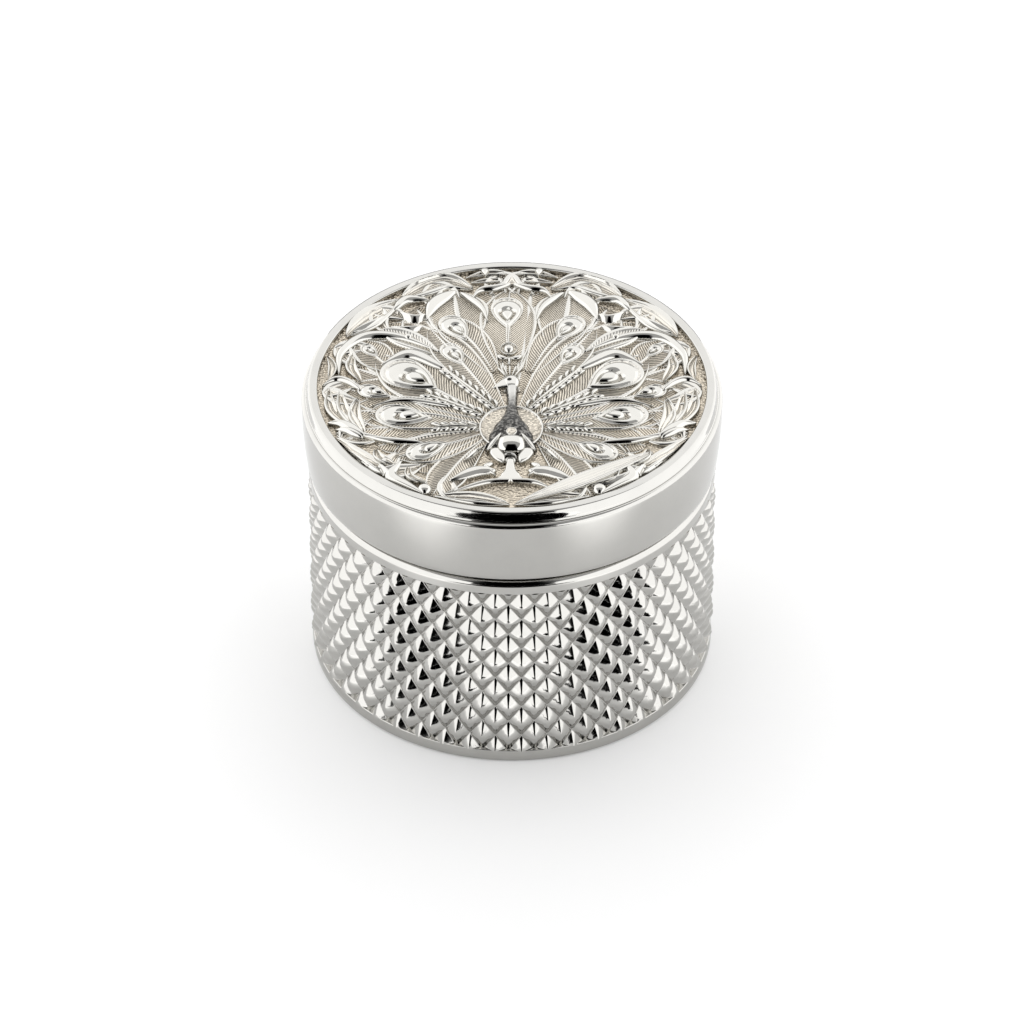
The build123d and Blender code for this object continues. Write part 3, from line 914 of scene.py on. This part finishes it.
def stud_tree(material):
    """Geometry Nodes tree that repeats one stud round the wall in staggered rows."""
    tree = bpy.data.node_groups.new("Stud Rows", "GeometryNodeTree")
    for label, kind in (
        ("Stud", "NodeSocketObject"),
        ("Studs Round", "NodeSocketInt"),
        ("Rows", "NodeSocketInt"),
        ("Row Pitch", "NodeSocketFloat"),
        ("First Row Height", "NodeSocketFloat"),
        ("Turn", "NodeSocketFloat"),
    ):
        tree.interface.new_socket(label, in_out="INPUT", socket_type=kind)
    tree.interface.new_socket("Geometry", in_out="OUTPUT", socket_type="NodeSocketGeometry")
    kit = NodeKit(tree)
    given = kit.add("NodeGroupInput").outputs
    out = kit.add("NodeGroupOutput")
    spots = kit.add("GeometryNodePoints", Count=kit.product(given["Studs Round"], given["Rows"]))
    index = kit.add("GeometryNodeInputIndex").outputs[0]
    row = kit.math("FLOOR", kit.math("DIVIDE", kit.math("ADD", index, 0.5), given["Studs Round"]))
    column = kit.math("SUBTRACT", index, kit.product(row, given["Studs Round"]))
    shift = kit.product(kit.math("MODULO", row, 2.0), 0.5)
    turn = kit.math("DIVIDE", kit.product(kit.math("ADD", column, shift), tau), given["Studs Round"])
    height = kit.math("MULTIPLY_ADD", row, given["Row Pitch"], given["First Row Height"])
    lift = kit.add("ShaderNodeCombineXYZ", Z=height).outputs[0]
    spin = kit.add("ShaderNodeCombineXYZ", Z=kit.math("ADD", turn, given["Turn"])).outputs[0]
    stud = kit.add("GeometryNodeObjectInfo", Object=given["Stud"])
    rows = kit.add("GeometryNodeInstanceOnPoints", Points=spots.outputs[0], Instance=stud.outputs["Geometry"])
    kit.put(rows, "Rotation", spin)
    moved = kit.add("GeometryNodeTranslateInstances", Instances=rows.outputs[0], Translation=lift)
    kit.put(moved, "Local Space", False)
    real = kit.add("GeometryNodeRealizeInstances", Geometry=moved.outputs[0])
    joined = kit.add("GeometryNodeMergeByDistance", Geometry=real.outputs[0], Distance=2e-6)
    painted = kit.add("GeometryNodeSetMaterial", Geometry=joined.outputs[0], Material=material)
    kit.put(out, "Geometry", painted.outputs[0])
    return tree


class KUMKUM_OT_foot(Operator):
    """Turn the plain foot with its rounded edge and recessed underside."""

    bl_idname = "kumkum.foot"
    bl_label = "Foot"

    def execute(self, context):
        body = context.scene.kumkum_box.body
        recess_radius = FOOT_RADIUS - body.foot_rim / MM
        recess_height = FOOT_LOW + 0.4
        profile = soft_profile(
            (0.0, recess_height, 0),
            (recess_radius, recess_height, 0.15),
            (recess_radius, FOOT_LOW, 0.12),
            (FOOT_RADIUS - 0.05, FOOT_LOW, 0.55),
            (FOOT_RADIUS, FOOT_LOW + 1.0, 0.3),
            (FOOT_RADIUS - 0.12, FOOT_TOP, 0.1),
            (0.0, FOOT_TOP, 0),
        )
        foot = lathe("foot", profile, silver("silver_polish"))
        seat(foot, "box", "polished_silver", "base_plate")
        return {"FINISHED"}


class KUMKUM_OT_inner_cup(Operator):
    """Turn the cup that holds the powder and rises as the lid's neck."""

    bl_idname = "kumkum.inner_cup"
    bl_label = "Inner Cup"

    def execute(self, context):
        body = context.scene.kumkum_box.body
        bore = CUP_RADIUS - body.cup_wall / MM
        floor = CUP_LOW + body.cup_floor / MM
        profile = soft_profile(
            (0.0, CUP_LOW, 0),
            (CUP_RADIUS, CUP_LOW, 0.1),
            (CUP_RADIUS, NECK_TOP, 0.2),
            (bore, NECK_TOP, 0.2),
            (bore, floor, 0.4),
            (0.0, floor, 0),
        )
        cup = lathe("inner_cup_visual", profile, silver("silver_satin"))
        seat(cup, "box", "polished_silver", "inner_cup")
        return {"FINISHED"}


def stud_rows(context, body):
    """Open mesh of the stud rows, a little higher and lower than the wall."""
    pitch = body.stud_row_pitch / MM
    rows_up = int((WALL_TOP - WALL_LOW) / pitch) + 2
    top_tip = WALL_TOP + 0.05
    rise_full = body.stud_height / MM
    half_turn = pi / body.stud_columns
    flat, faces = stud_patch(body)
    curved = []
    for across, up, rise in flat:
        radius = STUD_TIP_RADIUS - rise_full + rise * rise_full
        angle = across * half_turn
        curved.append((radius * cos(angle), radius * sin(angle), up * pitch))
    material = silver("silver_polish")
    stud = piece_from("stud", curved, faces, material)
    host = piece_from("stud_rows", (), (), material)
    rows = host.modifiers.new("Stud Rows", "NODES")
    rows.node_group = stud_tree(material)
    sockets = {item.name: item.identifier for item in rows.node_group.interface.items_tree}
    for label, value in (
        ("Stud", stud),
        ("Studs Round", body.stud_columns),
        ("Rows", rows_up + 1),
        ("Row Pitch", pitch * MM),
        ("First Row Height", (top_tip - rows_up * pitch) * MM),
        ("Turn", body.stud_turn),
    ):
        rows[sockets[label]] = value
    context.view_layer.update()
    mesh = bpy.data.meshes.new_from_object(host.evaluated_get(context.evaluated_depsgraph_get()))
    mesh.name = "diamond_studs"
    for spent in (stud, host):
        bpy.data.objects.remove(spent)
    return mesh


def of_kind(parts, kind):
    """Those parts of a mesh that are points or edges."""
    return [part for part in parts if isinstance(part, kind)]


class KUMKUM_OT_diamond_wall(Operator):
    """Roll the sleeve of staggered diamond studs."""

    bl_idname = "kumkum.diamond_wall"
    bl_label = "Diamond Wall"

    def execute(self, context):
        body = context.scene.kumkum_box.body
        mesh = stud_rows(context, body)
        wall = bmesh.new()
        wall.from_mesh(mesh)
        bmesh.ops.recalc_face_normals(wall, faces=wall.faces)
        bore_edges = []
        for height, outward in ((WALL_LOW, -1), (WALL_TOP, 1)):
            cut = bmesh.ops.bisect_plane(
                wall,
                geom=wall.verts[:] + wall.edges[:] + wall.faces[:],
                plane_co=(0, 0, height * MM),
                plane_no=(0, 0, outward),
                clear_outer=True,
            )
            outer_edges = of_kind(cut["geom_cut"], bmesh.types.BMEdge)
            for edge in outer_edges:
                edge.smooth = False
            rim = bmesh.ops.extrude_edge_only(wall, edges=outer_edges)["geom"]
            for vert in of_kind(rim, bmesh.types.BMVert):
                scale = body.sleeve_bore / Vector(vert.co[:2]).length
                vert.co.x *= scale
                vert.co.y *= scale
            bore_edges += of_kind(rim, bmesh.types.BMEdge)
        bmesh.ops.bridge_loops(wall, edges=bore_edges)
        bmesh.ops.recalc_face_normals(wall, faces=wall.faces)
        wall.to_mesh(mesh)
        wall.free()
        mesh.polygons.foreach_set("use_smooth", [True] * len(mesh.polygons))
        studs = bpy.data.objects.new("diamond_studs", mesh)
        context.scene.collection.objects.link(studs)
        seat(studs, "box", "polished_silver", "diamond_wall")
        return {"FINISHED"}


class KUMKUM_OT_shoulder_ring(Operator):
    """Turn the half-round ring above the studs."""

    bl_idname = "kumkum.shoulder_ring"
    bl_label = "Shoulder Ring"

    def execute(self, context):
        bore = context.scene.kumkum_box.body.sleeve_bore / MM
        profile = soft_profile(
            (bore, RING_LOW, 0),
            (RING_RADIUS, RING_LOW, 0.15),
            (RING_RADIUS, RING_TOP, 0.9),
            (bore, RING_TOP, 0),
        )
        ring = lathe("shoulder", profile, silver("silver_polish"))
        seat(ring, "box", "polished_silver", "shoulder_ring")
        return {"FINISHED"}


class KUMKUM_OT_lid_band(Operator):
    """Turn the lid's bellied wall."""

    bl_idname = "kumkum.lid_band"
    bl_label = "Lid Band"

    def execute(self, context):
        lid = context.scene.kumkum_box.lid
        bore = lid.band_bore / MM
        mouth_radius = lid.mouth_radius / MM
        lip = LID_MOUTH + 0.2
        shoulder = 0.5
        belly_top = BAND_TOP - shoulder
        profile = [(bore, BAND_TOP), (bore, LID_MOUTH + 0.3), (bore + 0.05, LID_MOUTH + 0.1)]
        profile += [(bore + 0.2, LID_MOUTH), (mouth_radius - 0.3, LID_MOUTH)]
        profile += [(mouth_radius - 0.1, LID_MOUTH + 0.04), (mouth_radius, lip)]
        for share in np.linspace(0, 1, 17)[1:]:
            radius = LID_RADIUS - (LID_RADIUS - mouth_radius) * (1 - share) ** 2
            profile.append((radius, lip + share * (belly_top - lip)))
        for turn in np.linspace(0, pi / 2, 9)[1:]:
            profile.append((LID_RADIUS - shoulder + shoulder * cos(turn), belly_top + shoulder * sin(turn)))
        band = lathe("lid_wall", profile, silver("silver_polish"))
        seat(band, "lid", "polished_silver", "lid_band")
        return {"FINISHED"}


class KUMKUM_OT_lid_lining(Operator):
    """Turn the disc that closes the lid inside."""

    bl_idname = "kumkum.lid_lining"
    bl_label = "Lid Lining"

    def execute(self, context):
        profile = soft_profile(
            (0.0, LINING_LOW, 0),
            (LINING_RADIUS, LINING_LOW, 0.1),
            (LINING_RADIUS, LINING_TOP, 0.1),
            (0.0, LINING_TOP, 0),
        )
        lining = lathe("lid_lining", profile, silver("silver_satin"))
        seat(lining, "lid", "polished_silver", "backing_disc")
        return {"FINISHED"}


class KUMKUM_OT_bezel(Operator):
    """Turn the beaded moulding around the medallion."""

    bl_idname = "kumkum.bezel"
    bl_label = "Bezel"

    def execute(self, context):
        inner = context.scene.kumkum_box.lid.field_radius / MM
        rebate = inner + 0.5
        bead = 0.26
        bead_top = BEZEL_TOP - 0.03
        profile = [(BEZEL_RADIUS, BEZEL_LOW), (rebate, BEZEL_LOW), (rebate, GROUND), (inner, GROUND)]
        for turn in np.linspace(0, pi / 2, 7):
            profile.append((inner + bead * (1 - cos(turn)), bead_top - bead * (1 - sin(turn))))
        profile += [(rebate, BEZEL_TOP), (inner + 0.85, bead_top)]
        brow = np.array((inner + 1.1, BEZEL_TOP - 0.09))
        foot = np.array((BEZEL_RADIUS - 0.07, BEZEL_LOW + 0.3))
        brow_slope, foot_slope = radians(40), radians(76)
        near_brow = brow + 0.2 * np.array((cos(brow_slope), -sin(brow_slope)))
        near_foot = foot + 0.5 * np.array((-cos(foot_slope), sin(foot_slope)))
        for share in np.linspace(0, 1, 15):
            rest = 1 - share
            spot = rest**3 * brow + 3 * rest**2 * share * near_brow + 3 * rest * share**2 * near_foot
            profile.append(tuple(spot + share**3 * foot))
        profile += [(foot[0], BEZEL_LOW + 0.16), (BEZEL_RADIUS, BEZEL_LOW + 0.12)]
        bezel = lathe("bezel", profile, silver("silver_polish"))
        seat(bezel, "lid", "polished_silver", "lid_bezel")
        return {"FINISHED"}


class KUMKUM_OT_medallion(Operator):
    """Raise the feathers, eyes, halo and border leaves on the struck plate."""

    bl_idname = "kumkum.medallion"
    bl_label = "Medallion"

    def execute(self, context):
        lid = context.scene.kumkum_box.lid
        material = silver("silver_relief")
        profile = soft_profile(
            (0.0, PLATE_LOW, 0),
            (PLATE_RADIUS, PLATE_LOW, 0.1),
            (PLATE_RADIUS, GROUND, 0.1),
            (0.0, GROUND, 0),
        )
        plate = lathe("medallion_plate", profile, material)
        seat(plate, "lid", "relief_silver", "medallion")
        vane = lid.feather_height / MM
        eye = lid.eye_height / MM
        leaf = lid.leaf_height / MM
        fan = Relief(lid)
        rear_feathers(fan, vane * 0.55)
        long_feathers(fan, vane, eye)
        short_feathers(fan, vane, eye)
        shaft_leaflets(fan, eye * 0.85)
        halo(fan, vane)
        feathers = fan.build("tail_fan", material)
        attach(feathers, "lid")
        scrolls = Relief(lid)
        rear_leaves(scrolls, leaf * 0.6)
        border_leaves(scrolls, leaf)
        leaves = scrolls.build("border_leaves", material)
        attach(leaves, "lid")
        return {"FINISHED"}


class KUMKUM_OT_peacock(Operator):
    """Set the bird on the medallion."""

    bl_idname = "kumkum.peacock"
    bl_label = "Peacock"

    def execute(self, context):
        lid = context.scene.kumkum_box.lid
        plumage = Relief(lid)
        plumage_forms(plumage, BIRD_TOP - GROUND - BIRD_CLEARANCE)
        breast = plumage.build("peacock_breast", silver("silver_dark"))
        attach(breast, "lid")
        bird = Relief(lid)
        bird_forms(bird, BIRD_TOP - GROUND - BIRD_CLEARANCE)
        peacock = bird.build("peacock", silver("silver_relief"))
        seat(peacock, "lid", "relief_silver", "peacock_figure")
        return {"FINISHED"}


def studio_world(stage):
    """White tent with a dark opening around the camera, and plain white behind everything."""
    world = bpy.data.worlds.new("studio_tent")
    world.use_nodes = True
    kit = NodeKit(world.node_tree)
    tent = world.node_tree.nodes["Background"]
    axes = kit.axes(kit.add("ShaderNodeTexCoord").outputs["Generated"])
    facing = kit.math("DIVIDE", kit.product(axes[1], -1.0), kit.length(axes[0], axes[1]))

    def zone(near, far, low, high, soft=4.0, side_soft=4.0):
        """Share of a patch of the tent between two angles from the camera and two heights, in degrees."""
        far_edge = cos(radians(far + side_soft)), cos(radians(max(far - side_soft, 0)))
        near_edge = cos(radians(near + side_soft)), cos(radians(max(near - side_soft, 0)))
        inside = kit.spread(facing, *far_edge)
        above = kit.spread(axes[2], sin(radians(low - soft)), sin(radians(low + soft)))
        below = kit.spread(axes[2], sin(radians(high - soft)), sin(radians(high + soft)), 1.0, 0.0)
        across = inside if near <= 0 else kit.product(inside, kit.spread(facing, *near_edge, 1.0, 0.0))
        return kit.product(across, above, below)

    gap = stage.dark_gap * 180 / pi
    opening = zone(0, gap, low=-2, high=65, side_soft=9.0)
    sides = zone(gap + 6, 180, low=-10, high=30)
    level = kit.math("MULTIPLY_ADD", sides, stage.side_strength - stage.tent_strength, stage.tent_strength)
    level = kit.product(level, kit.math("SUBTRACT", 1.0, opening))
    seen = kit.add("ShaderNodeLightPath").outputs["Is Camera Ray"]
    shown = kit.add("ShaderNodeMix", {"data_type": "FLOAT"})
    kit.put(shown, 0, seen)
    kit.put(shown, 2, level)
    kit.put(shown, 3, 1.0)
    kit.put(tent, "Color", (1.0, 1.0, 1.0, 1.0))
    kit.put(tent, "Strength", shown.outputs[0])
    bpy.context.scene.world = world


def sheet(name, corners, material):
    """Flat piece of the studio with four corners."""
    mesh = bpy.data.meshes.new(name)
    mesh.from_pydata(corners, [], [(0, 1, 2, 3)])
    mesh.materials.append(material)
    piece = bpy.data.objects.new(name, mesh)
    bpy.context.scene.collection.objects.link(piece)
    return piece


def studio_card(name, strength, corners):
    """White or black card of the studio, which the camera doesn't see."""
    material = bpy.data.materials.new(name)
    material.use_nodes = True
    nodes = material.node_tree.nodes
    nodes.remove(nodes["Principled BSDF"])
    glow = nodes.new("ShaderNodeEmission")
    glow.inputs["Strength"].default_value = strength
    material.node_tree.links.new(glow.outputs[0], nodes["Material Output"].inputs["Surface"])
    card = sheet(name, corners, material)
    card.visible_camera = False
    return card


def studio_cards(stage):
    """White cards at both sides and behind the box, and the dark table edge in front of it."""
    front, rear, top = -0.22, 0.16, 0.12
    for name, x in (("left_card", -0.078), ("right_card", 0.084)):
        upright = [(x, front, 0.0), (x, rear, 0.0), (x, rear, top), (x, front, top)]
        studio_card(name, stage.side_strength, upright)
    far, near, height = -3.0, -0.1, 0.001
    flat = [(-0.8, far, height), (0.8, far, height), (0.06, near, height), (-0.06, near, height)]
    table_edge = studio_card("table_edge", 0.0, flat)
    table_edge.visible_diffuse = False
    table_edge.visible_shadow = False
    leaning = [(-0.5, 0.34, 0.1), (0.5, 0.34, 0.1), (0.5, 0.07, 0.5), (-0.5, 0.07, 0.5)]
    studio_card("back_card", stage.back_strength, leaning)


def floor_paper(stage):
    """Pale paper that is a little whiter as it is seen, and glares beside the box in polished silver."""
    material = bpy.data.materials.new("floor_paper")
    material.use_nodes = True
    paper = material.node_tree.nodes["Principled BSDF"]
    kit = NodeKit(material.node_tree)
    kit.put(paper, "Base Color", (*stage.floor_colour, 1.0))
    kit.put(paper, "Roughness", 1.0)
    kit.put(paper, "Specular IOR Level", 0.0)
    kit.put(paper, "Emission Color", (1.0, 1.0, 1.0, 1.0))
    path = kit.add("ShaderNodeLightPath").outputs
    looked_at = kit.math("MAXIMUM", path["Is Camera Ray"], path["Is Transmission Ray"])
    share_in_silver = 0.35
    looked_at = kit.math("MULTIPLY_ADD", path["Is Glossy Ray"], share_in_silver, looked_at)
    spot = kit.axes(kit.place())
    dark_half_width, bright_half_width = 0.016, 0.052
    bright_front, dark_rear = -0.066, -0.027
    aside = kit.spread(kit.math("ABSOLUTE", spot[0]), dark_half_width, bright_half_width)
    ahead = kit.spread(spot[1], bright_front, dark_rear, 1.0, 0.0)
    glare = kit.product(aside, ahead, path["Is Glossy Ray"])
    lift = kit.product(looked_at, stage.floor_lift)
    kit.put(paper, "Emission Strength", kit.math("MULTIPLY_ADD", glare, stage.floor_glare, lift))
    return material


def place_camera(scene, stage):
    """Camera in front of the box, aimed at its middle."""
    aim = Vector((0.0, 0.0, AIM_HEIGHT * MM))
    back = Vector((0.0, -cos(stage.camera_elevation), sin(stage.camera_elevation)))
    lens = bpy.data.cameras.new("camera")
    lens.lens = stage.camera_lens
    lens.sensor_width = 36.0
    lens.clip_start = 0.01
    lens.clip_end = 50.0
    camera = bpy.data.objects.new("camera", lens)
    camera.location = aim + back * stage.camera_distance
    camera.rotation_euler = back.to_track_quat("Z", "Y").to_euler()
    scene.collection.objects.link(camera)
    scene.camera = camera


class KUMKUM_OT_stage(Operator):
    """Lay the pale floor, set the light and place the camera."""

    bl_idname = "kumkum.stage"
    bl_label = "Stage"

    def execute(self, context):
        scene = context.scene
        stage = scene.kumkum_box.stage
        scene.view_settings.view_transform = "Standard"
        studio_world(stage)
        reach = 4.0
        corners = [(-reach, -reach, 0), (reach, -reach, 0), (reach, reach, 0), (-reach, reach, 0)]
        floor = sheet("floor", corners, floor_paper(stage))
        studio_cards(stage)
        place_camera(scene, stage)
        return {"FINISHED"}


OPERATORS = (
    KUMKUM_OT_foot,
    KUMKUM_OT_inner_cup,
    KUMKUM_OT_diamond_wall,
    KUMKUM_OT_shoulder_ring,
    KUMKUM_OT_lid_band,
    KUMKUM_OT_lid_lining,
    KUMKUM_OT_bezel,
    KUMKUM_OT_medallion,
    KUMKUM_OT_peacock,
    KUMKUM_OT_stage,
)


class KUMKUM_PT_box(Panel):
    """Sizes, finishes and building steps of the kumkum box."""

    bl_idname = "KUMKUM_PT_box"
    bl_label = "Kumkum Box"
    bl_space_type = "VIEW_3D"
    bl_region_type = "UI"
    bl_category = "Kumkum Box"

    def draw(self, context):
        settings = context.scene.kumkum_box
        for group in (settings.body, settings.lid, settings.finish, settings.stage):
            column = self.layout.column()
            for key in group.bl_rna.properties.keys():
                if key not in ("rna_type", "name"):
                    column.prop(group, key)
        for operator in OPERATORS:
            self.layout.operator(operator.bl_idname)


CLASSES = (
    KumkumBodySettings,
    KumkumLidSettings,
    KumkumFinishSettings,
    KumkumStageSettings,
    KumkumBoxSettings,
    *OPERATORS,
    KUMKUM_PT_box,
)


def register():
    """Register the classes and the settings on the scene."""
    for item in CLASSES:
        bpy.utils.register_class(item)
    bpy.types.Scene.kumkum_box = PointerProperty(type=KumkumBoxSettings)


def unregister():
    """Take the settings and the classes out again."""
    del bpy.types.Scene.kumkum_box
    for item in reversed(CLASSES):
        bpy.utils.unregister_class(item)


def main():
    """Build every piece in order."""
    register()
    bpy.ops.kumkum.foot()
    bpy.ops.kumkum.inner_cup()
    bpy.ops.kumkum.diamond_wall()
    bpy.ops.kumkum.shoulder_ring()
    bpy.ops.kumkum.lid_band()
    bpy.ops.kumkum.lid_lining()
    bpy.ops.kumkum.bezel()
    bpy.ops.kumkum.medallion()
    bpy.ops.kumkum.peacock()
    bpy.ops.kumkum.stage()


if __name__ == "__main__":
    main()
